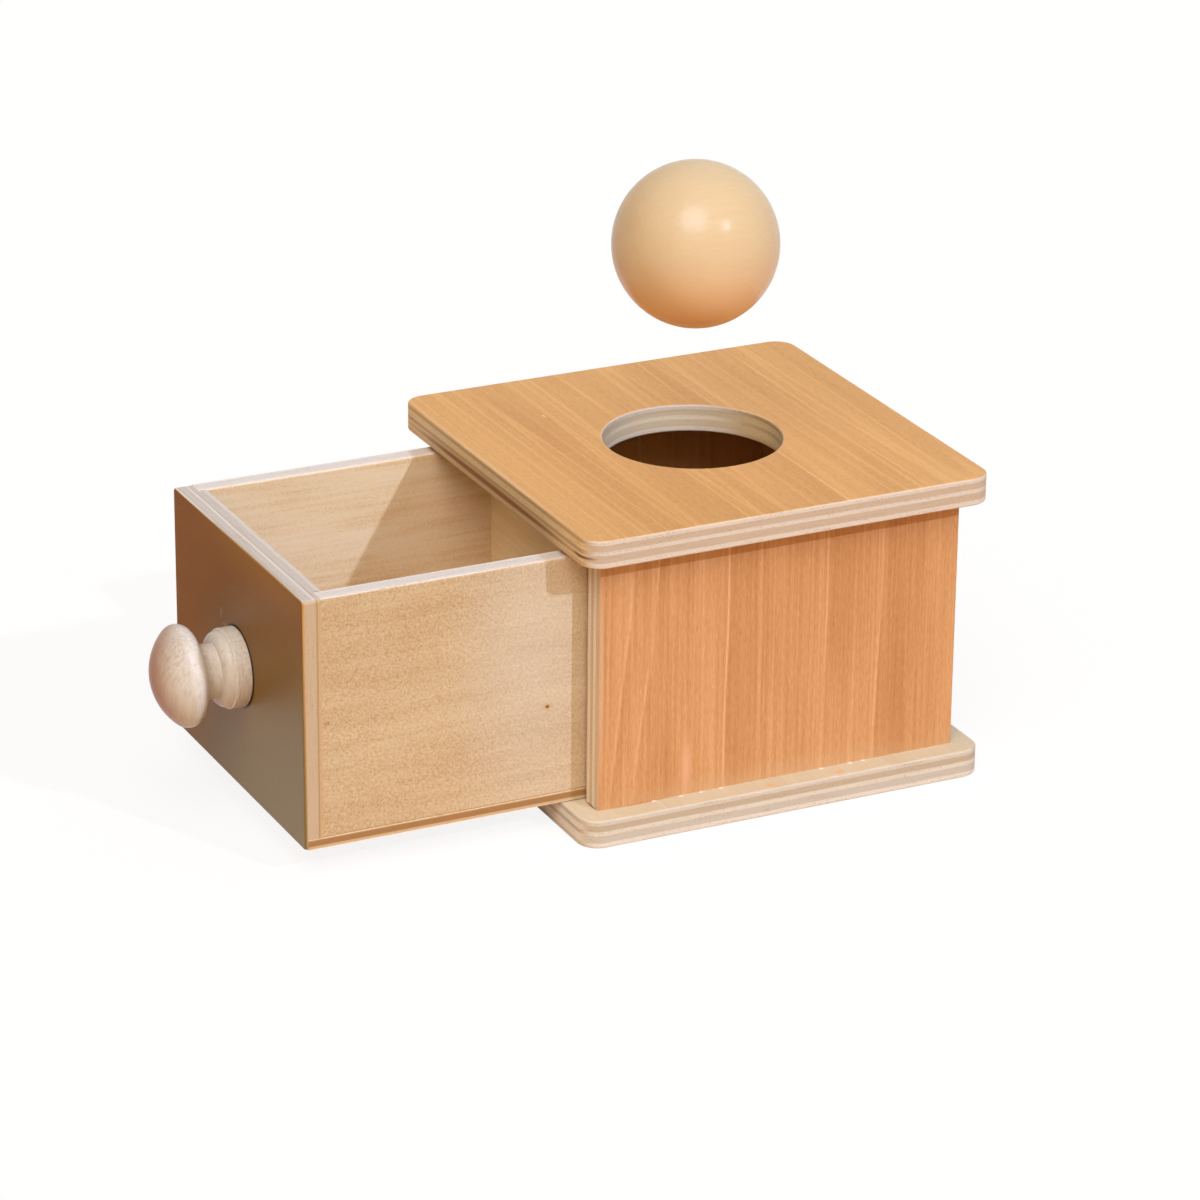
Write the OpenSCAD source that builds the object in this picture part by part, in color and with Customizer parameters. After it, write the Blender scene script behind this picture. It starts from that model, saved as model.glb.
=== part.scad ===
// Object permanence box: a plywood case with a round hole in its top, a drawer under the hole that
// catches what drops through, and the turned wooden ball that belongs to it.
// The case stands on the plane Z = 0, centred on the Z axis, with the drawer's knob towards -Y.
// The drawer is drawn pulled open, and the ball is drawn in the air above its hole.

/* [Case] */
// Width of the top and base panels, across the drawer
case_w = 110; // [100:1:150]
// Depth of the top and base panels, along the drawer's travel
case_d = 110; // [100:1:150]
// Height over the top and base panels
case_h = 80; // [72:1:110]
// Thickness of the case's plywood
ply_t = 7.2; // [6:0.2:9]
// How far the top and base stand out past the walls
overhang = 6; // [4:0.5:10]
// Radius of the top's and base's corners
corner_r = 5.5; // [3:0.5:9]
// Rounding of the sanded edges
edge_r = 0.5; // [0.3:0.1:0.8]

/* [Hole and ball] */
// Diameter of the hole in the top
hole_d = 45; // [36:1:50]
// Difference between the hole's and the ball's diameters
ball_play = 3.5; // [2:0.5:8]
// Height of the ball's lowest point above the top
ball_lift = 29.5; // [5:0.5:60]

/* [Drawer] */
// How far the drawer stands open
drawer_open = 74.5; // [0:0.5:85]
// Play between the drawer and each side panel of the case
side_play = 0.8; // [0.5:0.1:1.5]
// Play over the drawer, below the top
head_play = 1.3; // [0.8:0.1:2]
// Depth by which the shut drawer's front sits inside the walls' front edges
front_recess = 1; // [0:0.5:3]
// Thickness of the drawer's sides and back
drawer_side_t = 5; // [4:0.5:6]
// Thickness of the drawer's floor
drawer_floor_t = 2.6; // [2:0.2:4]
// Part of the drawer front's thickness that covers the ends of the sides
front_cheek = 4.8; // [3.5:0.1:5]
// Part of the drawer front's thickness that covers the end of the floor
front_lip = 0.8; // [0.6:0.1:2]

/* [Knob] */
// Diameter of the knob's head
knob_d = 25.4; // [22:0.2:28]
// Length of the knob, from the drawer's front to the top of its dome
knob_l = 22; // [20:0.5:26]
// Diameter of the knob's foot
knob_foot_d = 20; // [18:0.5:21]
// Diameter of the knob's neck
knob_neck_d = 13.6; // [12:0.2:14]

/* [Fastenings] */
// Diameter of the hidden dowels
dowel_d = 4; // [3:0.5:5]
// Depth of a dowel's hole in a wall
dowel_wall_depth = 12; // [8:1:16]
// Depth of a dowel's hole in the top or base
dowel_plate_depth = 4.2; // [3:0.2:5]
// Diameter of the panel pins
pin_d = 1.1; // [0.8:0.1:1.4]
// Length of the panel pins
pin_l = 14; // [10:1:16]
// Diameter of the knob screw's shank
screw_d = 3; // [2.5:0.5:4]

/* [Hidden] */
$fn = 72;

// Clearances: past a face for a cutter, round a glued dowel or pin, and under the sliding drawer
past = 1;
glue_gap = 0.05;
slide_gap = 0.3;

// Walls of the case
wall_w = case_w - 2 * overhang;
wall_d = case_d - 2 * overhang;
wall_h = case_h - 2 * ply_t;
wall_x = (wall_w - ply_t) / 2;
back_y = (wall_d - ply_t) / 2;
back_w = wall_w - 2 * ply_t;

// Dowels: two in each side panel and two in the back panel, as places in plan
dowel_places = [
    for (side = [-1, 1], end = [-1, 1]) [side * wall_x, end * 0.32 * wall_d],
    for (side = [-1, 1]) [side * 0.25 * back_w, back_y]
];

// Drawer, measured from the bottom of its front face
drawer_w = back_w - 2 * side_play;
drawer_h = wall_h - slide_gap - head_play;
drawer_l = wall_d - ply_t - front_recess - side_play;
drawer_z = ply_t + slide_gap;
drawer_y = front_recess - wall_d / 2 - drawer_open;
drawer_inner_w = drawer_w - 2 * drawer_side_t;

// Pins through the drawer's sides, as [distance behind the front face, height]
side_pin_places = [
    [(front_cheek + ply_t) / 2, drawer_h / 2],
    [drawer_l - drawer_side_t / 2, drawer_h / 4],
    [drawer_l - drawer_side_t / 2, drawer_h * 3 / 4]
];
// Pins up through the drawer's floor, as places in plan
floor_pin_places = [
    for (side = [-1, 1], along = [0.3, 0.75])
        [side * (drawer_w - drawer_side_t) / 2, along * drawer_l]
];
pin_set = 0.2;

// Knob: a round bead forms the head's edge, and a dome meets it smoothly
knob_z = drawer_h / 2;
foot_t = 4.2;
shoulder_r = 2.4;
bead_r = 3;
bead_x = knob_d / 2 - bead_r;
bead_z = knob_l - 7.4;
bead_drop = knob_l - bead_z - bead_r;
dome_below = (bead_x * bead_x - bead_drop * bead_drop) / (2 * bead_drop);
dome_r = knob_l - bead_z + dome_below;
dome_edge_x = bead_x * dome_r / (dome_r - bead_r);
// The hollow under the head touches the neck and the bead
cove_z = foot_t + shoulder_r + 1.9;
cove_rise = bead_z - cove_z;
cove_in = bead_x - knob_neck_d / 2;
cove_r = (cove_in * cove_in + cove_rise * cove_rise - bead_r * bead_r) / (2 * (bead_r + cove_in));
cove_x = knob_neck_d / 2 + cove_r;
screw_in_knob = 11;
screw_head_d = 6.4;
screw_head_h = 2.2;

BEECH = [0.87, 0.66, 0.42];
BEECH_RED = [0.87, 0.60, 0.37];
BIRCH = [0.88, 0.72, 0.52];
TURNED = [0.86, 0.70, 0.56];
STEEL = [0.62, 0.62, 0.63];

// Rectangle with round corners, from the origin to (w, h)
module round_rect(w, h, r) {
    translate([r, 0])
        square([w - 2 * r, h]);
    translate([0, r])
        square([w, h - 2 * r]);
    for (x = [r, w - r], y = [r, h - r])
        translate([x, y])
            circle(r);
}

// Panel with round corners in plan and sanded edges: two crossing bars and four turned corners
module sanded_panel(w, d, t, r) {
    translate([-w / 2, d / 2 - r, 0])
        rotate([90, 0, 0])
            linear_extrude(d - 2 * r)
                round_rect(w, t, edge_r);
    translate([r - w / 2, -d / 2, 0])
        rotate([90, 0, 90])
            linear_extrude(w - 2 * r)
                round_rect(d, t, edge_r);
    for (x = [-1, 1], y = [-1, 1])
        translate([x * (w / 2 - r), y * (d / 2 - r), 0])
            rotate_extrude()
                turned_half(r, t);
}

// Half outline of a disc with sanded edges
module turned_half(r, t) {
    square([r - edge_r, t]);
    translate([0, edge_r])
        square([r, t - 2 * edge_r]);
    for (z = [edge_r, t - edge_r])
        translate([r - edge_r, z])
            circle(edge_r);
}

// Cutter for a round hole with sanded rims, through a panel that lies on Z = 0
module sanded_hole(d, t) {
    rotate_extrude()
        difference() {
            translate([0, -past])
                square([d / 2 + edge_r, t + 2 * past]);
            translate([d / 2, 0])
                round_rect(4 * edge_r, t, edge_r);
        }
}

// Upright wall of the case, with sanded upright edges, centred in plan
module wall(w, d) {
    translate([-w / 2, -d / 2, ply_t])
        linear_extrude(wall_h)
            round_rect(w, d, edge_r);
}

// Holes for the dowels, across both joints of the walls
module dowel_holes() {
    for (place = dowel_places, z = [ply_t, case_h - ply_t])
        translate([place[0], place[1], z]) {
            inward = z < case_h / 2 ? 1 : -1;
            low = inward > 0 ? -dowel_plate_depth : -dowel_wall_depth;
            translate([0, 0, low])
                cylinder(d = dowel_d, h = dowel_plate_depth + dowel_wall_depth);
        }
}

// Dowels of one joint, standing on the ends of their lower holes
module dowels(lower_depth, joint_z) {
    for (place = dowel_places)
        translate([place[0], place[1], joint_z - lower_depth])
            cylinder(d = dowel_d - 2 * glue_gap, h = dowel_plate_depth + dowel_wall_depth - 2 * glue_gap);
}

// Places its children in the drawer
module in_drawer() {
    translate([0, drawer_y, drawer_z])
        children();
}

// Pins through the drawer's sides, or their holes
module side_pins(d, start) {
    for (side = [-1, 1], place = side_pin_places)
        translate([side * drawer_w / 2, place[0], place[1]])
            rotate([0, -side * 90, 0])
                translate([0, 0, start])
                    cylinder(d = d, h = pin_l - start);
}

// Pins up through the drawer's floor, or their holes
module floor_pin_set(d, start) {
    for (place = floor_pin_places)
        translate([place[0], place[1], start])
            cylinder(d = d, h = pin_l - start);
}

// All pin holes of the drawer
module pin_holes() {
    side_pins(pin_d + 2 * glue_gap, -past);
    floor_pin_set(pin_d + 2 * glue_gap, -past);
}

// One long side of the drawer, from the front's cheek to the drawer's end
module drawer_side(side) {
    difference() {
        translate([(side * (drawer_w - drawer_side_t) - drawer_side_t) / 2, drawer_l, drawer_floor_t])
            rotate([90, 0, 0])
                linear_extrude(drawer_l - front_cheek)
                    round_rect(drawer_side_t, drawer_h - drawer_floor_t, edge_r);
        pin_holes();
    }
}

// Half outline of the knob, from its foot upwards
module knob_half() {
    turned_half(knob_foot_d / 2, foot_t);
    intersection() {
        translate([knob_foot_d / 2 - shoulder_r - edge_r, foot_t])
            circle(shoulder_r);
        translate([0, foot_t - edge_r])
            square([knob_foot_d, knob_l]);
    }
    square([knob_foot_d / 2 - shoulder_r - edge_r, foot_t + shoulder_r]);
    square([knob_neck_d / 2, bead_z]);
    difference() {
        translate([0, cove_z])
            square([bead_x, bead_z - cove_z]);
        translate([cove_x, cove_z])
            circle(cove_r);
    }
    translate([bead_x, bead_z])
        circle(bead_r);
    intersection() {
        translate([0, bead_z - dome_below])
            circle(dome_r);
        translate([0, bead_z])
            square([dome_edge_x, knob_l]);
    }
}

module top_panel() {
    color(BEECH)
        difference() {
            translate([0, 0, case_h - ply_t])
                sanded_panel(case_w, case_d, ply_t, corner_r);
            translate([0, 0, case_h - ply_t])
                sanded_hole(hole_d, ply_t);
            dowel_holes();
        }
}

module base_panel() {
    color(BEECH)
        difference() {
            sanded_panel(case_w, case_d, ply_t, corner_r);
            dowel_holes();
        }
}

module left_side_panel() {
    color(BEECH_RED)
        difference() {
            translate([-wall_x, 0, 0])
                wall(ply_t, wall_d);
            dowel_holes();
        }
}

module right_side_panel() {
    color(BEECH_RED)
        difference() {
            translate([wall_x, 0, 0])
                wall(ply_t, wall_d);
            dowel_holes();
        }
}

module back_panel() {
    color(BEECH_RED)
        difference() {
            translate([0, back_y, 0])
                wall(back_w, ply_t);
            dowel_holes();
        }
}

module top_dowels() {
    color(TURNED)
        dowels(dowel_wall_depth, case_h - ply_t);
}

module base_dowels() {
    color(TURNED)
        dowels(dowel_plate_depth, ply_t);
}

// Rebated at both ends for the sides and along its foot for the floor
module drawer_front() {
    color(BEECH)
        in_drawer()
            difference() {
                translate([0, ply_t, drawer_h / 2])
                    rotate([90, 0, 0])
                        sanded_panel(drawer_w, drawer_h, ply_t, 2 * edge_r);
                for (side = [-1, 1])
                    translate([side * drawer_w / 2 - drawer_side_t, front_cheek, -past])
                        cube([2 * drawer_side_t, ply_t, drawer_h + 2 * past]);
                translate([-drawer_w, front_lip, -past])
                    cube([2 * drawer_w, ply_t, drawer_floor_t + past]);
                translate([0, ply_t + past, knob_z])
                    rotate([90, 0, 0])
                        cylinder(d = screw_d + 0.4, h = ply_t + 2 * past);
                pin_holes();
            }
}

module drawer_left_side() {
    color(BIRCH)
        in_drawer()
            drawer_side(-1);
}

module drawer_right_side() {
    color(BIRCH)
        in_drawer()
            drawer_side(1);
}

module drawer_back() {
    color(BIRCH)
        in_drawer()
            difference() {
                translate([-drawer_inner_w / 2, drawer_l - drawer_side_t, drawer_floor_t])
                    rotate([90, 0, 90])
                        linear_extrude(drawer_inner_w)
                            round_rect(drawer_side_t, drawer_h - drawer_floor_t, edge_r);
                pin_holes();
            }
}

module drawer_bottom() {
    color(BIRCH)
        in_drawer()
            difference() {
                translate([-drawer_w / 2, front_lip, 0])
                    cube([drawer_w, drawer_l - front_lip, drawer_floor_t]);
                pin_holes();
            }
}

module drawer_pins() {
    color(STEEL)
        in_drawer()
            side_pins(pin_d, pin_set);
}

module floor_pins() {
    color(STEEL)
        in_drawer()
            floor_pin_set(pin_d, pin_set);
}

module knob() {
    color(TURNED)
        in_drawer()
            translate([0, 0, knob_z])
                rotate([90, 0, 0])
                    difference() {
                        rotate_extrude()
                            knob_half();
                        translate([0, 0, -past])
                            cylinder(d = screw_d + 2 * glue_gap, h = screw_in_knob + past);
                    }
}

// Pan head inside the drawer, with a cross recess, and a plain shank into the knob
module knob_screw() {
    color(STEEL)
        in_drawer()
            translate([0, ply_t, knob_z])
                rotate([-90, 0, 0])
                    difference() {
                        union() {
                            rotate_extrude()
                                intersection() {
                                    round_rect(screw_head_d / 2, screw_head_h + edge_r, edge_r);
                                    square([screw_head_d / 2, screw_head_h]);
                                }
                            translate([0, 0, -ply_t - screw_in_knob])
                                cylinder(d = screw_d, h = ply_t + screw_in_knob + past);
                        }
                        for (turn = [0, 90])
                            rotate([0, 0, turn])
                                translate([-screw_head_d / 4, -edge_r / 2, screw_head_h / 2])
                                    cube([screw_head_d / 2, edge_r, screw_head_h]);
                    }
}

module ball() {
    color(TURNED)
        translate([0, 0, case_h + ball_lift + (hole_d - ball_play) / 2])
            sphere(d = hole_d - ball_play);
}

top_panel();
base_panel();
left_side_panel();
right_side_panel();
back_panel();
top_dowels();
base_dowels();
drawer_front();
drawer_left_side();
drawer_right_side();
drawer_back();
drawer_bottom();
drawer_pins();
floor_pins();
knob();
knob_screw();
ball();
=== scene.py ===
# %% [markdown]
# # A drop box in beech plywood
# The real object is a toy for infants: a ball drops through a round hole and is found again in the
# drawer below. Every piece of wood is already drawn at its true size, so this lesson leaves the shapes
# alone and makes the wood: veneer, plywood edges, turned beech, and a little steel.

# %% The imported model
from math import radians

import bpy
import numpy as np
from mathutils import Euler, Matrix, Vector


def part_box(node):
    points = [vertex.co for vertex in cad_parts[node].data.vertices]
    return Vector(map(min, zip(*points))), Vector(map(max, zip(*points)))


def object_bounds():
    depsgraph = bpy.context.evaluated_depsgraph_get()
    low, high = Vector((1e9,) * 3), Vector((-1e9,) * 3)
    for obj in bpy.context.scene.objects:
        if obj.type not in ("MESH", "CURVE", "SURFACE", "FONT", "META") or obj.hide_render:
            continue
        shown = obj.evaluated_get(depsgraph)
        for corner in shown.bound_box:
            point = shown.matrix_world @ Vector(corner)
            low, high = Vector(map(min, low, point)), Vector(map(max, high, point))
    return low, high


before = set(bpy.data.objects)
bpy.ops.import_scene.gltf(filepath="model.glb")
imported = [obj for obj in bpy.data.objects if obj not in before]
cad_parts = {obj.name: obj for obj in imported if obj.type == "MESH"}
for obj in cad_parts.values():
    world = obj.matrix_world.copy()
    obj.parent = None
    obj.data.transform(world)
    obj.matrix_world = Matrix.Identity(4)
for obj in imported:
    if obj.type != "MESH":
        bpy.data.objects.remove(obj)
cad_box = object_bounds()
PER_M = 1000.0
size_mm = (cad_box[1] - cad_box[0]) * PER_M
print("loaded", len(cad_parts), "pieces,", [round(x, 1) for x in size_mm], "mm overall")

# %% [markdown]
# ## The camera
# The box is seen from its front right corner, from above, through a long lens. A camera could be aimed
# with a constraint, but three plain turns are easier to read: up from looking at the floor, round the
# box, and a slight roll.

# %% Camera
camera_place = (1.0463, -0.5357, 0.5195)
camera_azimuth = 63.99
camera_elevation = 22.38
camera_roll = 0.56
lens_mm = 151.15

camera = bpy.data.objects.new("camera", bpy.data.cameras.new("camera"))
bpy.context.scene.collection.objects.link(camera)
camera.data.lens = lens_mm
aim = Euler((radians(90 - camera_elevation), 0, radians(camera_azimuth))).to_matrix()
roll = Euler((0, 0, radians(camera_roll))).to_matrix()
camera.matrix_world = (aim @ roll).to_4x4()
camera.location = camera_place
bpy.context.scene.camera = camera
bpy.context.scene.view_settings.view_transform = "Standard"
print("camera", round(Vector(camera_place).length, 3), "m from the box's foot")

# %% [markdown]
# ## Adding nodes, and colours
# A finish is a tree of shader nodes. One small function adds a node, sets its properties and fills its
# sockets, so a tree can be written down in the order in which it is thought. Colours are written as on
# a paint card, in sRGB, and Blender wants linear light, so one function converts them.


# %% Node and colour helpers
def linear(hex_colour):
    """sRGB to linear: a straight line near black, and a power of 2.4 above it."""
    srgb = np.array([int(hex_colour[i:i + 2], 16) for i in (1, 3, 5)]) / 255
    return (*np.where(srgb <= 0.04045, srgb / 12.92, ((srgb + 0.055) / 1.055) ** 2.4), 1.0)


def add(tree, kind, inputs=None, stops=None, **settings):
    """Adds a node. settings are its own properties. inputs maps a socket's name or number to an output,
    which is linked, to a hex colour, or to a number. stops are a colour ramp's pairs of position and hex
    colour."""
    node = tree.nodes.new(kind)
    for name, value in settings.items():
        setattr(node, name, value)
    for key, value in (inputs or {}).items():
        if isinstance(value, bpy.types.NodeSocket):
            tree.links.new(value, node.inputs[key])
        else:
            node.inputs[key].default_value = linear(value) if isinstance(value, str) else value
    if stops:
        elements = node.color_ramp.elements
        while len(elements) < len(stops):
            elements.new(1.0)
        for element, (position, colour) in zip(elements, stops):
            element.position = position
            element.color = linear(colour)
    return node


def new_material(name):
    """An empty node material and its tree."""
    material = bpy.data.materials.new(name)
    material.use_nodes = True
    material.node_tree.nodes.clear()
    return material, material.node_tree


print("mid grey #808080 is", round(linear("#808080")[0], 3), "in linear light")

# %% [markdown]
# ## Lamps
# A softbox high at the front right is the main light, and a wide warm window fills the shadows. A small
# cool lamp on the right draws a crisp diagonal shadow into the open drawer, and a weak lamp behind
# keeps the far side readable. Area lamps would do, but a sun lamp has the same light all over and one
# direction to set, and its angle makes it small and sharp or wide and soft. The softbox has a twin, the
# shine, which makes highlights only, so that their strength can be set apart.

# %% Lamps
lamps = dict(
    key_lamp=dict(towards=(1.0, 0.47, 0.79), energy=1.55, angle=1.5, tint="#d2e4ff"),
    window=dict(towards=(0.62, -0.22, 0.77), energy=1.25, angle=100.0, tint="#ffe1a5"),
    softbox=dict(towards=(0.52, -0.33, 0.79), energy=1.65, angle=38.0, tint="#fff4ed"),
    shine=dict(towards=(0.52, -0.33, 0.79), energy=5.0, angle=36.0, tint="#bcd6ff"),
    rear_lamp=dict(towards=(-0.8, 0.6, 0.35), energy=0.25, angle=60.0, tint="#fff4e8"),
)
light_the_wood = ("key_lamp", "window", "softbox", "rear_lamp")
make_highlights = ("key_lamp", "shine")
for name, lamp in lamps.items():
    light = bpy.data.lights.new(name, "SUN")
    light.energy = lamp["energy"]
    light.color = linear(lamp["tint"])[:3]
    light.angle = radians(lamp["angle"])
    holder = bpy.data.objects.new(name, light)
    holder.rotation_euler = Vector(lamp["towards"]).to_track_quat("Z", "Y").to_euler()
    holder.visible_diffuse = name in light_the_wood
    holder.visible_glossy = name in make_highlights
    bpy.context.scene.collection.objects.link(holder)
print("lamps:", ", ".join(lamps))

# %% [markdown]
# ## Sky
# The room's own light is a dim sky, cool and brighter overhead, warm and darker at the horizon. The
# background should be white all the same. More light would bleach the wood, so the world shows plain
# white to the camera and to mirrors, and the sky to everything else.

# %% Sky
OVERHEAD, HORIZON = "#727888", "#342f2b"
SKY_AXIS = (0.0, 0.0, 1.0)


def seen_directly(tree):
    """1 where a ray comes from the camera, a mirror or a lens, and 0 where it carries diffuse light."""
    path = add(tree, "ShaderNodeLightPath").outputs
    seen = path["Is Camera Ray"]
    for kind in ("Is Glossy Ray", "Is Transmission Ray"):
        seen = add(tree, "ShaderNodeMath", {0: seen, 1: path[kind]}, operation="MAXIMUM").outputs[0]
    return seen


world = bpy.data.worlds.new("studio")
bpy.context.scene.world = world
world.use_nodes = True
sky = world.node_tree
sky.nodes.clear()
direction = add(sky, "ShaderNodeTexCoord").outputs["Object"]
upward = {0: direction, 1: SKY_AXIS}
height = add(sky, "ShaderNodeVectorMath", upward, operation="DOT_PRODUCT").outputs["Value"]
dome = add(sky, "ShaderNodeValToRGB", {0: height}, stops=[(0.0, HORIZON), (1.0, OVERHEAD)]).outputs[0]
ambient = add(sky, "ShaderNodeBackground", {"Color": dome, "Strength": 1.0})
backdrop = add(sky, "ShaderNodeBackground", {"Color": "#ffffff", "Strength": 1.0})
both = {0: seen_directly(sky), 1: ambient.outputs[0], 2: backdrop.outputs[0]}
add(sky, "ShaderNodeOutputWorld", {"Surface": add(sky, "ShaderNodeMixShader", both).outputs[0]})
print("sky from", HORIZON, "to", OVERHEAD)

# %% [markdown]
# ## Floor
# A pale floor carries the shadow. To look white it could be lit harder, but that would bleach the wood.
# Instead it shines on its own where the camera or a reflection sees it, and a small share of it is lit
# paper, which shows the shadow. For the light that it passes on it is the tan of a wooden table, which
# warms the shaded faces and the underside of the ball.

# %% Floor
FLOOR_HALF = 6.0
FLOOR_DROP = 0.0001
corners = np.array([[-1, -1, 0], [1, -1, 0], [1, 1, 0], [-1, 1, 0]]) * FLOOR_HALF - [0, 0, FLOOR_DROP]
floor_mesh = bpy.data.meshes.new("floor")
floor_mesh.from_pydata(corners.tolist(), [], [(0, 1, 2, 3)])
floor = bpy.data.objects.new("floor", floor_mesh)
bpy.context.scene.collection.objects.link(floor)

SHADOW_SHARE = 0.13
paper, tree = new_material("matt_paper_floor")
glow = add(tree, "ShaderNodeEmission", {"Color": "#ffffff", "Strength": 1.0})
white = add(tree, "ShaderNodeBsdfDiffuse", {"Color": "#ffffff"})
shown = add(tree, "ShaderNodeMixShader", {0: SHADOW_SHARE, 1: glow.outputs[0], 2: white.outputs[0]})
table = add(tree, "ShaderNodeBsdfDiffuse", {"Color": "#e2ba92"})
both = {0: seen_directly(tree), 1: table.outputs[0], 2: shown.outputs[0]}
add(tree, "ShaderNodeOutputMaterial", {"Surface": add(tree, "ShaderNodeMixShader", both).outputs[0]})
floor_mesh.materials.append(paper)
print("floor", 2 * FLOOR_HALF, "m wide")

# %% [markdown]
# ## Board coordinates
# Wood has a direction. A picture could be wrapped round each panel, but it would not meet itself at the
# edges. A solid pattern does, so every panel gets its own ruler in millimetres: along the grain, across
# it, and down through the plies from its show face. Panels read different places of one endless sheet,
# so that no two look alike.


# %% Board ruler
def board(tree, node, show_face, grain):
    """A ruler from Object coordinates: distance along the grain, distance across it, and depth below the
    show face, each a dot product of the place with a direction. Returns it with the panel's thickness, both
    in mm."""
    place = add(tree, "ShaderNodeTexCoord").outputs["Object"]
    normal, along = Vector(show_face), Vector(grain)
    low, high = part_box(node)
    levels = sorted((low.dot(normal) * PER_M, high.dot(normal) * PER_M))
    rulers = []
    for axis in (along, normal.cross(along), -normal):
        ruler = {0: place, 1: axis * PER_M}
        rulers.append(add(tree, "ShaderNodeVectorMath", ruler, operation="DOT_PRODUCT").outputs["Value"])
    depth = add(tree, "ShaderNodeMath", {0: rulers[2], 1: levels[1]}, operation="ADD").outputs[0]
    mm = add(tree, "ShaderNodeCombineXYZ", {0: rulers[0], 1: rulers[1], 2: depth}).outputs[0]
    return mm, levels[1] - levels[0]


print("one metre is", PER_M, "mm on the board ruler")

# %% [markdown]
# ## Streaks and layers of colour
# Every figure in this wood is noise drawn out along the grain. Several are summed by weight, and the
# sum picks a colour. Where one finish ends and another begins, a soft step between two values lays the
# one over the other, which hides the seam better than a hard line.


# %% Streaks, sums and soft steps
def streaks(tree, mm, length, width, layer=None, detail=3.0, roughness=0.55):
    """Noise drawn out to streaks of that length and width in mm, and layer mm thick through the board.
    Without a layer they are as thick as they are wide."""
    scale = (1 / length, 1 / width, 1 / (layer or width))
    drawn = add(tree, "ShaderNodeVectorMath", {0: mm, 1: scale}, operation="MULTIPLY").outputs[0]
    noise = {"Vector": drawn, "Scale": 1.0, "Detail": detail, "Roughness": roughness}
    return add(tree, "ShaderNodeTexNoise", noise).outputs["Fac"]


def weigh(tree, parts):
    """Sums figures by weight. Each is taken as centred on a half, and so is the sum."""
    total = 0.5 - sum(weight for _, weight in parts) / 2
    for figure, weight in parts:
        term = {0: figure, 1: weight, 2: total}
        total = add(tree, "ShaderNodeMath", term, operation="MULTIPLY_ADD").outputs[0]
    return total


def lay_over(tree, base, over, value, low, high):
    """Lays one colour over another: none of it where the value is at low, all of it where the value is at
    high, and an S curve from one to the other."""
    span = {"Value": value, "From Min": low, "From Max": high}
    share = add(tree, "ShaderNodeMapRange", span, interpolation_type="SMOOTHSTEP").outputs["Result"]
    return add(tree, "ShaderNodeMix", {0: share, 6: base, 7: over}, data_type="RGBA").outputs[2]


print("figures:", streaks.__name__, "summed by", weigh.__name__, "and laid by", lay_over.__name__)

# %% [markdown]
# ## Growth lines
# Beech veneer shows the year's growth as thin pale lines, a few millimetres apart and never evenly. A
# wave texture is even by nature. A colour ramp used as a row of marks can have its lines anywhere, so
# one row, read round and round, serves every sheet: each line is pale, the wood on one side of it
# darkest, and it lightens again up to the next line. Between these lie fainter lines, found where slow
# noise passes its middle.

# %% Growth lines
ROW_MM = 98.0
ROW_START = 0.47
BRIGHT, CLEAR, PLAIN, DARKEST = "#ffffff", "#e4e4e4", "#bcbcbc", "#a0a0a0"
growth = {21.7: CLEAR, 37.5: CLEAR, 53.8: CLEAR, 64.0: BRIGHT, 85.8: BRIGHT, 92.1: CLEAR}
DARK_SIDE_MM, PLAIN_SIDE_MM = 0.6, 0.3
DRIFT_MM = 6.0
LEAN_FROM_MM, LEAN_FULL_MM = 14, 36
FADED, UNFADED = 0.30, 0.60
YEAR_MM = 5.0
YEAR_LINE = 0.06


def year_lines(tree, mm):
    """Faint lines about every 5 mm: the places where slow noise passes through its middle."""
    years = streaks(tree, mm, length=160, width=YEAR_MM, detail=0.0)
    apart = add(tree, "ShaderNodeMath", {0: years, 1: 0.5}, operation="SUBTRACT").outputs[0]
    apart = add(tree, "ShaderNodeMath", {0: apart}, operation="ABSOLUTE").outputs[0]
    span = {"Value": apart, "From Min": YEAR_LINE, "From Max": 0.0}
    return add(tree, "ShaderNodeMapRange", span, interpolation_type="SMOOTHSTEP").outputs["Result"]


def growth_lines(tree, mm, lean):
    """The row of marks across the grain. Slow noise makes the lines drift by a millimetre and fade in and
    out, and with a lean those on one side of the sheet slope by that many mm across per mm along."""
    drift = streaks(tree, mm, length=90, width=25, detail=1.0)
    axes = add(tree, "ShaderNodeSeparateXYZ", {0: mm}).outputs
    drifted = {0: drift, 1: DRIFT_MM, 2: axes["Y"]}
    across = add(tree, "ShaderNodeMath", drifted, operation="MULTIPLY_ADD").outputs[0]
    if lean:
        slope = add(tree, "ShaderNodeMath", {0: axes["X"], 1: lean}, operation="MULTIPLY").outputs[0]
        side = {"Value": axes["Y"], "From Min": LEAN_FROM_MM, "From Max": LEAN_FULL_MM}
        part = add(tree, "ShaderNodeMapRange", side, interpolation_type="SMOOTHSTEP").outputs["Result"]
        leaning = {0: slope, 1: part, 2: across}
        across = add(tree, "ShaderNodeMath", leaning, operation="MULTIPLY_ADD").outputs[0]
    rows = {0: across, 1: 1 / ROW_MM, 2: ROW_START}
    turns = add(tree, "ShaderNodeMath", rows, operation="MULTIPLY_ADD").outputs[0]
    turn = add(tree, "ShaderNodeMath", {0: turns}, operation="FRACT").outputs[0]
    stops = [(0.0, PLAIN)]
    for place, strength in growth.items():
        line = [(place - DARK_SIDE_MM, DARKEST), (place, strength), (place + PLAIN_SIDE_MM, PLAIN)]
        stops += [(mark / ROW_MM, tone) for mark, tone in line]
    row = add(tree, "ShaderNodeValToRGB", {0: turn}, stops=stops).outputs[0]
    fade = streaks(tree, mm, length=45, width=9, detail=1.0)
    return lay_over(tree, PLAIN, row, fade, FADED, UNFADED)


print(len(growth), "growth lines in", ROW_MM, "mm")

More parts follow.
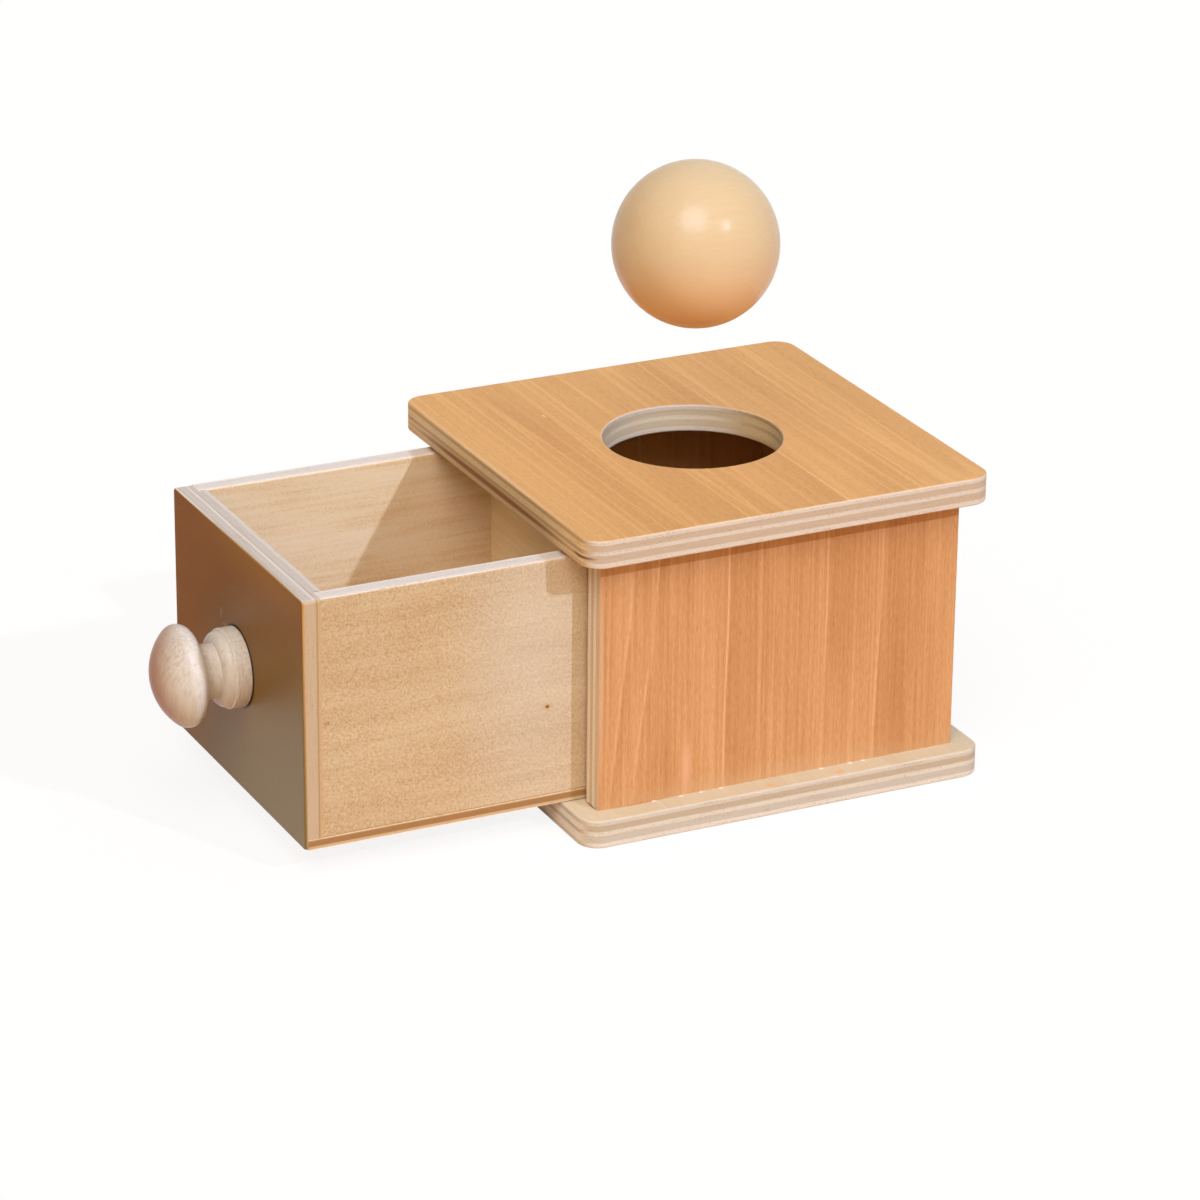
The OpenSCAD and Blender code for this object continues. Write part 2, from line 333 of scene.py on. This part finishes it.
# %% [markdown]
# ## Veneer
# The faces are sliced veneer. Beech has slow changes of tone, growth lines, and fine short fibres with
# the dark ends of its rays between them. Birch is quieter: soft clouds along the grain and a fine
# speckle of pores. Each is noise drawn out along the grain to the size that the eye sees in the real
# wood.


# %% Beech veneer
def beech_figure(tree, mm, lean=0.0, contrast=1.0, streaky=0.34, clear=0.55, years=0.05):
    """Beech: slow tone, streaks, fibres 2 mm long and pale growth lines. Returns the figure and the fibres.
    streaky, clear and years weigh the streaks, the growth lines and the faint lines between them."""
    tone = streaks(tree, mm, length=150, width=10, detail=1.0)
    streak = streaks(tree, mm, length=60, width=0.8, detail=1.0)
    fibre = streaks(tree, mm, length=2.2, width=0.25, detail=1.5, roughness=0.6)
    lines = growth_lines(tree, mm, lean)
    faint = year_lines(tree, mm)
    parts = [(tone, 0.30), (streak, streaky), (fibre, 0.42), (lines, -clear), (faint, -years)]
    return weigh(tree, [(part, weight * contrast) for part, weight in parts]), fibre


def leaning_beech_figure(tree, mm):
    """Beech from near the middle of the log, where the lines on one side run out at a slope."""
    return beech_figure(tree, mm, lean=0.1, clear=0.75)


def striped_beech_figure(tree, mm):
    """Beech sliced square to the years, with more of the faint lines."""
    return beech_figure(tree, mm, contrast=0.95, streaky=0.2, clear=0.65, years=0.15)


def quiet_beech_figure(tree, mm):
    """Beech cut along the years, which hardly shows any lines."""
    return beech_figure(tree, mm, contrast=0.4)


print("beech veneers: plain, leaning, striped and quiet")


# %% Birch veneer
ASKEW = dict(Axis=(1.0, 1.0, 1.0), Angle=0.9)


def birch_figure(tree, mm, grain=0.25, speckle=1.0):
    """Birch: clouds 40 mm long, faint streaks, and pores of 0.6 mm, drawn coarser than life so that they
    show. Noise has a lattice, which would show as a weave in so fine a speckle, so the speckle is turned
    askew to the board."""
    cloud = streaks(tree, mm, length=40, width=8, detail=2.0)
    streak = streaks(tree, mm, length=30, width=1.3, detail=2.0)
    turned = add(tree, "ShaderNodeVectorRotate", {"Vector": mm, **ASKEW}).outputs[0]
    pores = streaks(tree, turned, length=0.6, width=0.6, detail=2.0, roughness=0.7)
    return weigh(tree, [(cloud, 0.40), (streak, grain), (pores, speckle)]), pores


def streaky_birch_figure(tree, mm):
    """Birch with more grain and fewer pores."""
    return birch_figure(tree, mm, grain=0.5, speckle=0.5)


print("birch veneers: plain and streaky")

# %% [markdown]
# ## Plywood edges
# A panel is veneers glued crosswise, so its edges show stripes. Where the fibres of a ply end in the
# edge it looks pale, and where they run along the edge it looks tan, so the stripes change places from
# one edge to the next, also round the hole. Painting each edge would need it marked first. Depth below
# the show face and the way that the edge faces say it all: two rows of stripes, mixed by how squarely
# the edge cuts the grain.

# %% Plywood edges
PALE, TAN, CORE = "#d7cec3", "#c5b29d", "#a9845c"
GLUE_LINE = 0.012
LONG_CUT, SQUARE_CUT = 0.15, 0.85
FRESH, DULLED = 0.50, 1.05


def ply_stops(plies):
    """Colour stops for plies given as (share of the thickness, colour), each soft by a glue line at both
    sides."""
    stops, start = [], 0.0
    for share, colour in plies:
        stops += [(start + GLUE_LINE, colour), (start + share - GLUE_LINE, colour)]
        start += share
    return stops


def ply_edge(tree, sheet, share, grain, plies, cross_plies):
    """The colour of the edges and their fine layers. share is the depth as a share of the thickness. The
    normal's dot product with the grain says how squarely an edge cuts it. Layers and pores of noise dull the
    stripes towards the core's brown."""
    square_row = add(tree, "ShaderNodeValToRGB", {0: share}, stops=ply_stops(plies)).outputs[0]
    long_row = add(tree, "ShaderNodeValToRGB", {0: share}, stops=ply_stops(cross_plies)).outputs[0]
    cut = {0: add(tree, "ShaderNodeTexCoord").outputs["Normal"], 1: grain}
    facing = add(tree, "ShaderNodeVectorMath", cut, operation="DOT_PRODUCT").outputs["Value"]
    squarely = add(tree, "ShaderNodeMath", {0: facing}, operation="ABSOLUTE").outputs[0]
    edge = lay_over(tree, long_row, square_row, squarely, LONG_CUT, SQUARE_CUT)
    layers = streaks(tree, sheet, length=14, width=14, layer=0.22, detail=2.0)
    pores = streaks(tree, sheet, length=0.7, width=0.7, layer=0.25, detail=1.0)
    dull = weigh(tree, [(layers, 1.0), (pores, 0.8)])
    return lay_over(tree, edge, CORE, dull, FRESH, DULLED), layers


print("plies cut squarely are", PALE, "and along the fibres", TAN)

# %% [markdown]
# ## Plywood
# A panel is face veneer on both sides of these edges, sanded and given a thin satin coat. Real panels
# also have small marks: worn edges, rubs, stains. A picture of each would need its own map. An oval,
# placed with the board ruler, is enough for all of them, and for the light and shade that are painted on
# some panels, and another one raises the gloss where hands have polished the wood.

# %% Plywood
VENEER_MM, EDGE_MM = 0.08, 0.22
TONES_AT = (0.2, 0.5, 0.8)
RIM = 1.0
SHEEN_SPREAD = 0.16
RELIEF_MM, RELIEF_STRENGTH = 0.03, 0.4
LACQUER_IOR = 1.5
# Noise is weakest on its own lattice, so the show face is read this many mm off it.
OFF_LATTICE = 3.3


def oval(tree, mm, middle, half):
    """Distance from an oval's middle, with its half sizes along, across and in depth as the unit. It is 1
    at the rim."""
    scale = [1 / size for size in half]
    shift = [-place / size for place, size in zip(middle, half)]
    centred = {0: mm, 1: scale, 2: shift}
    unit = add(tree, "ShaderNodeVectorMath", centred, operation="MULTIPLY_ADD").outputs[0]
    return add(tree, "ShaderNodeVectorMath", {0: unit}, operation="LENGTH").outputs["Value"]


def plywood(
    name, node, show_face, grain, cut_from, figure, veneer, plies, cross_plies,
    gloss=0.2, rough=0.5, marks=(), polish=None, lacquer="#ffffff",
):
    """Sanded plywood with a satin coat. veneer holds the face's pale, middle and dark colour, plies the
    stripes of edges that cut the grain squarely, cross_plies those of edges along it. cut_from is the place
    of the sheet that is read. marks are ovals: their middle and half sizes along, across and in depth, their
    colour, and the share of their size up to which they are solid. polish is one such oval with the gloss
    that it rises to in place of the colour, and lacquer tints the gloss."""
    material, tree = new_material(name)
    mm, thickness = board(tree, node, show_face, grain)
    shift = (*cut_from, OFF_LATTICE)
    sheet = add(tree, "ShaderNodeVectorMath", {0: mm, 1: shift}, operation="ADD").outputs[0]
    face_figure, fibre = figure(tree, sheet)
    face = add(tree, "ShaderNodeValToRGB", {0: face_figure}, stops=list(zip(TONES_AT, veneer))).outputs[0]

    depth = add(tree, "ShaderNodeSeparateXYZ", {0: mm}).outputs["Z"]
    share = add(tree, "ShaderNodeMath", {0: depth, 1: thickness}, operation="DIVIDE").outputs[0]
    edge, layers = ply_edge(tree, sheet, share, grain, plies, cross_plies)
    other_face = add(tree, "ShaderNodeMath", {0: thickness, 1: depth}, operation="SUBTRACT").outputs[0]
    nearest = add(tree, "ShaderNodeMath", {0: depth, 1: other_face}, operation="MINIMUM").outputs[0]
    colour = lay_over(tree, edge, face, nearest, EDGE_MM, VENEER_MM)
    for middle, half, paint, solid in marks:
        colour = lay_over(tree, colour, paint, oval(tree, mm, middle, half), RIM, solid)
    if polish:
        middle, half, level, solid = polish
        rise = {"From Min": RIM, "From Max": solid, "To Min": gloss, "To Max": level}
        rise["Value"] = oval(tree, mm, middle, half)
        gloss = add(tree, "ShaderNodeMapRange", rise, interpolation_type="SMOOTHSTEP").outputs["Result"]

    sheen = {0: fibre, 1: SHEEN_SPREAD, 2: rough - SHEEN_SPREAD / 2}
    roughness = add(tree, "ShaderNodeMath", sheen, operation="MULTIPLY_ADD").outputs[0]
    relief = weigh(tree, [(fibre, 0.6), (layers, 0.4)])
    sanding = {"Height": relief, "Strength": RELIEF_STRENGTH, "Distance": RELIEF_MM / PER_M}
    bump = add(tree, "ShaderNodeBump", sanding).outputs[0]
    shader = {
        "Base Color": colour, "Roughness": roughness, "Normal": bump,
        "IOR": LACQUER_IOR, "Specular IOR Level": gloss, "Specular Tint": lacquer,
    }
    add(tree, "ShaderNodeOutputMaterial", {0: add(tree, "ShaderNodeBsdfPrincipled", shader).outputs[0]})
    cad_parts[node].material_slots[0].material = material
    print(name, "on", node, "with", len(plies), "plies in", round(thickness, 1), "mm")


print("face veneer", VENEER_MM, "mm deep, sanded to", RELIEF_MM, "mm")

# %% [markdown]
# ## The case
# Five panels of beech plywood. The top and the base have their grain across the box, the walls have it
# upright, and the right wall's sheet has lines that lean. Spotless panels would look like samples, so
# marks make it one real box. The top has a brown gap in its core along the front edge and a nick, with a
# painted highlight round the rim of its hole and a paler, creamier wall inside the hole. The right wall has
# a rubbed spot and painted light at its foot, bounced up from the base. The front edges of both are worn.
# Specks of glue, two stains and the lines of a joint lie on the base, and the inner faces of the other
# walls are painted yellower, for the warm light in the shaded case.

# %% Case plies and veneers
case_plies = [(0.17, PALE), (0.22, TAN), (0.14, PALE), (0.26, TAN), (0.21, PALE)]
case_cross = [(0.17, "#caa87a"), (0.22, "#ebd1a2"), (0.14, "#c8a577"), (0.28, "#e9cea0"), (0.19, "#d8b68a")]
base_plies = [(0.17, "#cdc8be"), (0.22, "#bbaf9b"), (0.16, "#d5d2c8"), (0.25, "#c2beb4"), (0.20, "#dad7d0")]
base_cross = [(0.17, "#c4bfb3"), (0.22, "#e1dfd8"), (0.14, "#bdb8ad"), (0.28, "#e1dfda"), (0.19, "#c9c7c0")]
wall_cross = [
    (0.08, "#e6ba94"), (0.22, "#d6c2aa"), (0.19, "#eadfcb"),
    (0.20, "#d2bda2"), (0.19, "#eadfcb"), (0.12, "#d0bca2"),
]
top_veneer = ("#e8bb80", "#d9a86a", "#c28e54")
wall_veneer = ("#e3b68e", "#cf9b6a", "#b57c4a")
base_veneer = ("#e0d9c3", "#cfc2a9", "#c0a581")
print("case:", len(case_plies), "plies, faces", top_veneer[1], wall_veneer[1], base_veneer[1])

# %% Case marks
core_gap = [
    ((0, -55, 4.85), (64, 3, 1.25), "#946238", 0.35),
    ((49.5, -53.2, 4.7), (5.5, 3.4, 0.7), "#523218", 0.4),
]
# Painted highlight: a pale ring round the rim of the hole. The second oval makes the wall inside the hole
# paler and creamier.
hole_rim_highlight_and_pale_wall = [
    ((0, 0, 0), (23.1, 23.1, 1.2), "#f0dec8", 0.97),
    ((0, 0, 3.6), (34, 34, 5.0), "#fff0c4", 0.0),
]
nick = [((-28.3, -27.6, 0), (1.3, 0.4, 0.4), "#eeca9c", 0.3)]
worn_top = [((0, -54.7, 0), (62, 1.2, 0.45), "#dab486", 0.1)]
worn_wall = [((40, 48.6, 0), (40, 1.1, 0.45), "#d1ab86", 0.1)]
rubbed_spot = [((14.5, 25.3, 0), (12, 2.2, 0.4), "#deac86", 0.0)]
# Painted light: the foot of the right wall is paler where light bounces up from the base.
painted_bounce_light_at_foot = [((-2, 0, 0), (17, 90, 0.4), "#d6af86", 0.0)]
# Painted light: the inner faces of the left and back walls are tinted yellower for the warm light in the
# shaded case.
painted_warm_light_inside = [((40, 0, 7.5), (400, 400, 0.5), "#e2ac58", 0.0)]
glue_at = (-34.1, -26.7, -21.2, -15.8, 12.1, 20.1, 23.7)
glue = [((49.4, y, 0), (0.5, 0.8, 0.4), "#f6eee4", 0.4) for y in glue_at]
stains = [((52.8, y, 0), (1.3, 2.4, 0.4), "#dcae78", 0.0) for y in (-4.0, 15.3)]
joint = [
    ((45.4, -49.2, 0), (4.4, 0.4, 0.4), "#80562f", 0.2),
    ((49.2, -38, 0), (0.35, 12, 0.4), "#b47a42", 0.1),
]
top_marks = worn_top + core_gap + nick + hole_rim_highlight_and_pale_wall
base_marks = joint + glue + stains
right_marks = painted_bounce_light_at_foot + worn_wall + rubbed_spot
print("marks on top, base and right wall:", len(top_marks), len(base_marks), len(right_marks))

# %% Case panels
X, Y, Z = Vector((1, 0, 0)), Vector((0, 1, 0)), Vector((0, 0, 1))
plywood(
    "beech_plywood_top", "top_panel", Z, X, (0, 0), striped_beech_figure, top_veneer,
    case_plies, case_cross, marks=top_marks,
)
plywood(
    "beech_plywood_base", "base_panel", Z, X, (340, 70), quiet_beech_figure, base_veneer,
    base_plies, base_cross, marks=base_marks,
)
plywood(
    "beech_plywood_right", "right_side_panel", X, Z, (-40, 0), leaning_beech_figure, wall_veneer,
    case_plies, wall_cross, marks=right_marks,
)
plywood(
    "beech_plywood_left", "left_side_panel", -X, Z, (510, 205), beech_figure, wall_veneer,
    case_plies, wall_cross, marks=painted_warm_light_inside,
)
plywood(
    "beech_plywood_back", "back_panel", Y, Z, (720, 415), beech_figure, wall_veneer,
    case_plies, wall_cross, marks=painted_warm_light_inside,
)

# %% [markdown]
# ## The drawer's front
# The front is one smoother sheet of beech plywood, darker than the walls, and painted darker still for
# the shade on its side of the box. Hands have polished its lower right part, which is shinier, so that it
# looks grey where it mirrors a bright room. Painting it grey would suit one view only, so the gloss itself
# rises there, over a painted olive sheen. A band of painted light runs along its top edge, and a ring of
# painted shadow lies round the knob's foot, with two scuffs beside it.

# %% Drawer front
front_plies = [
    (0.10, "#d2a770"), (0.40, "#c4b097"), (0.06, "#b1966f"),
    (0.24, "#c9ad86"), (0.04, "#aa8b63"), (0.16, "#c8ae89"),
]
front_cross = [
    (0.12, "#d8d2cb"), (0.03, "#b3a492"), (0.25, "#cbc4bf"), (0.11, "#dcd7d2"),
    (0.03, "#b3a492"), (0.27, "#cbc4bf"), (0.19, "#d8d2cb"),
]
# Darker wood, painted darker still for the shade on the front.
dark_and_shaded_front_veneer = ("#9a6a3d", "#906236", "#82552d")
# Painted sheen and light: an olive tint at the lower right under the raised gloss, and a lighter band along
# the top edge.
painted_front_sheen_and_light = [
    ((50, -28, 0), (122, 122, 1.0), "#78602b", 0.40),
    ((14, 73, 0), (56, 12, 1.0), "#9b7138", 0.0),
]
# Painted shadow: a dark ring round the knob's foot.
painted_knob_foot_shadow = [((0, 39.5, 0), (10.7, 10.7, 0.4), "#33281a", 0.95)]
scuffs = [
    ((-8, 47.3, 0), (2.2, 0.7, 0.4), "#a5835c", 0.2),
    ((-10.4, 49.8, 0), (0.7, 1.8, 0.4), "#a5835c", 0.2),
]
polished = ((50, -28, 0), (106, 106, 1.0), 0.68, 0.32)
plywood(
    "beech_plywood_drawer_front", "drawer_front", -Y, X, (910, 130), quiet_beech_figure, dark_and_shaded_front_veneer,
    front_plies, front_cross, gloss=0.02, rough=0.42, marks=painted_front_sheen_and_light + painted_knob_foot_shadow + scuffs,
    polish=polished, lacquer="#fffbe0",
)

# %% [markdown]
# ## The drawer's tray
# The sides and the back are thin birch plywood with pale sanded edges, and the floor is thinner still,
# with a brown core. They are plywood in other colours, so the same function makes them. The back's birch
# is the palest, painted light for the shade inside the drawer. The right side is paler and cooler towards
# the case and has one small knot.

# %% Drawer tray
thin_plies = [(0.26, "#d8c2a6"), (0.48, "#c6a888"), (0.26, "#d8c2a6")]
thin_cross = [(0.26, "#e4dedb"), (0.48, "#dcd6d2"), (0.26, "#e4dedb")]
floor_plies = [(0.30, "#ccb08a"), (0.54, "#a07a50"), (0.16, "#b8956a")]
pale_birch = ("#d6c6a3", "#c7af8c", "#b08e63")
pink_birch = ("#f3e4ce", "#ebd4b3", "#dab281")
# Painted light: the back's birch is made the palest, to brighten the shade inside the drawer.
inner_birch_painted_light = ("#faeccc", "#f8e2b8", "#e6c490")
# The paler, cooler patch has its middle above the face, so that it never quite covers the grain.
paler_cooler_near_case = [((-62, 48, -0.40), (37, 90, 0.6), "#dee4e6", 0.0)]
knot = [
    ((-59, 33.5, 0), (2.6, 1.4, 0.4), "#c8ab84", 0.1),
    ((-59, 33.5, 0), (0.7, 0.6, 0.4), "#84562e", 0.4),
]
plywood(
    "birch_plywood_right", "drawer_right_side", X, Y, (60, 610), birch_figure, pale_birch,
    thin_plies, thin_cross, marks=paler_cooler_near_case + knot,
)
plywood(
    "birch_plywood_left", "drawer_left_side", -X, Y, (260, 540), streaky_birch_figure, pink_birch,
    thin_plies, thin_cross,
)
plywood(
    "birch_plywood_back", "drawer_back", Y, X, (430, 820), streaky_birch_figure, inner_birch_painted_light,
    thin_plies, thin_cross,
)
plywood(
    "birch_plywood_floor", "drawer_bottom", -Z, X, (640, 350), birch_figure, pink_birch,
    floor_plies, floor_plies,
)

# %% [markdown]
# ## Turned beech
# The ball, the knob and the dowels are turned from solid beech. There are no plies here: the figure
# runs right through, so on a round form it shows as soft bands and ovals. Satin lacquer gives the ball
# and the knob soft highlights. Warm light bounced up from the top is painted low on the ball, and shade
# is painted darker red on the left of the knob, the side away from the lamps; a gradient along one
# direction makes each.

# %% Turned beech
TURNED_GLOSS = 0.13


def turned_beech(name, node, show_face, grain, cut_from, tones, contrast, roughness, painted_shading=None):
    """Solid beech: slow tone, streaks and fibres through the whole piece, under satin lacquer. The last
    argument gives a direction, the distances in mm along it at which painted shading begins and is full,
    and its colour."""
    material, tree = new_material(name)
    mm, _ = board(tree, node, show_face, grain)
    sheet = add(tree, "ShaderNodeVectorMath", {0: mm, 1: (*cut_from, 0.0)}, operation="ADD").outputs[0]
    tone = streaks(tree, sheet, length=90, width=10, detail=1.0)
    streak = streaks(tree, sheet, length=40, width=0.8, detail=2.0)
    fibre = streaks(tree, sheet, length=4, width=0.4, detail=1.0)
    figure = weigh(tree, [(tone, 0.6 * contrast), (streak, 0.8 * contrast), (fibre, 0.2 * contrast)])
    colour = add(tree, "ShaderNodeValToRGB", {0: figure}, stops=list(zip(TONES_AT, tones))).outputs[0]
    if painted_shading:
        towards, begins, full, red = painted_shading
        place = add(tree, "ShaderNodeTexCoord").outputs["Object"]
        ruler = {0: place, 1: Vector(towards).normalized() * PER_M}
        shading_reach = add(tree, "ShaderNodeVectorMath", ruler, operation="DOT_PRODUCT").outputs["Value"]
        colour = lay_over(tree, colour, red, shading_reach, begins, full)
    shader = {
        "Base Color": colour, "Roughness": roughness,
        "IOR": LACQUER_IOR, "Specular IOR Level": TURNED_GLOSS,
    }
    add(tree, "ShaderNodeOutputMaterial", {0: add(tree, "ShaderNodeBsdfPrincipled", shader).outputs[0]})
    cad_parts[node].material_slots[0].material = material
    print(name, "on", node)


ball_tones = ("#e0cfb0", "#d6bf9a", "#caab7e")
# Painted light: warmer orange low on the ball, for light bounced up from the top.
ball_painted_bounce = ((0.0, 0.0, -1.0), -138, -106, "#f8c692")
knob_tones = ("#e0ddd9", "#d4d0cb", "#bfa995")
# Painted shade: darker red on the knob's left, the side away from the lamps.
knob_painted_shade = ((-0.8, -0.5, -0.33), 49, 62, "#a0622f")
tilted = Vector((0.35, 0, 1)).normalized()
turned_beech("lacquered_beech_ball", "ball", Z, Y, (30, 900), ball_tones, 0.22, 0.27, ball_painted_bounce)
turned_beech("lacquered_beech_knob", "knob", -Y, tilted, (230, 1010), knob_tones, 0.8, 0.28, knob_painted_shade)
turned_beech("bare_beech_top_dowels", "top_dowels", Z, Z, (0, 0), knob_tones, 0.8, 0.6)
turned_beech("bare_beech_base_dowels", "base_dowels", Z, Z, (50, 50), knob_tones, 0.8, 0.6)

# The ball is held up only for the picture, so it keeps its shadow to itself.
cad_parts["ball"].visible_shadow = False

# %% [markdown]
# ## Steel
# Panel pins hold the drawer together, and a screw holds the knob. They are drawn wire under a thin
# brown film, with fine lines that blur the highlights. The lines are far too fine to model, so noise in
# the tint and the roughness stands for them.

# %% Drawn steel
# Lines 3.3 mm long and 0.25 mm wide, coarser than life so that they show.
LINES_PER_M = (300.0, 300.0, 4000.0)
SMOOTHEST, ROUGHENING = 0.4, 0.3


def drawn_steel(name, node):
    """Wire that has dulled a little: metal whose tint and roughness change in fine lines."""
    material, tree = new_material(name)
    place = add(tree, "ShaderNodeTexCoord").outputs["Object"]
    drawn = add(tree, "ShaderNodeVectorMath", {0: place, 1: LINES_PER_M}, operation="MULTIPLY").outputs[0]
    lines = add(tree, "ShaderNodeTexNoise", {"Vector": drawn, "Scale": 1.0, "Detail": 2.0}).outputs["Fac"]
    dulled = {0: lines, 1: ROUGHENING, 2: SMOOTHEST}
    rough = add(tree, "ShaderNodeMath", dulled, operation="MULTIPLY_ADD").outputs[0]
    film = [(0.3, "#b48a5c"), (0.7, "#cca274")]
    tint = add(tree, "ShaderNodeValToRGB", {0: lines}, stops=film).outputs[0]
    shader = {"Base Color": tint, "Metallic": 1.0, "Roughness": rough}
    add(tree, "ShaderNodeOutputMaterial", {0: add(tree, "ShaderNodeBsdfPrincipled", shader).outputs[0]})
    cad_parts[node].material_slots[0].material = material
    print(name, "on", node)


for node in ("drawer_pins", "floor_pins", "knob_screw"):
    drawn_steel("drawn_steel_" + node, node)
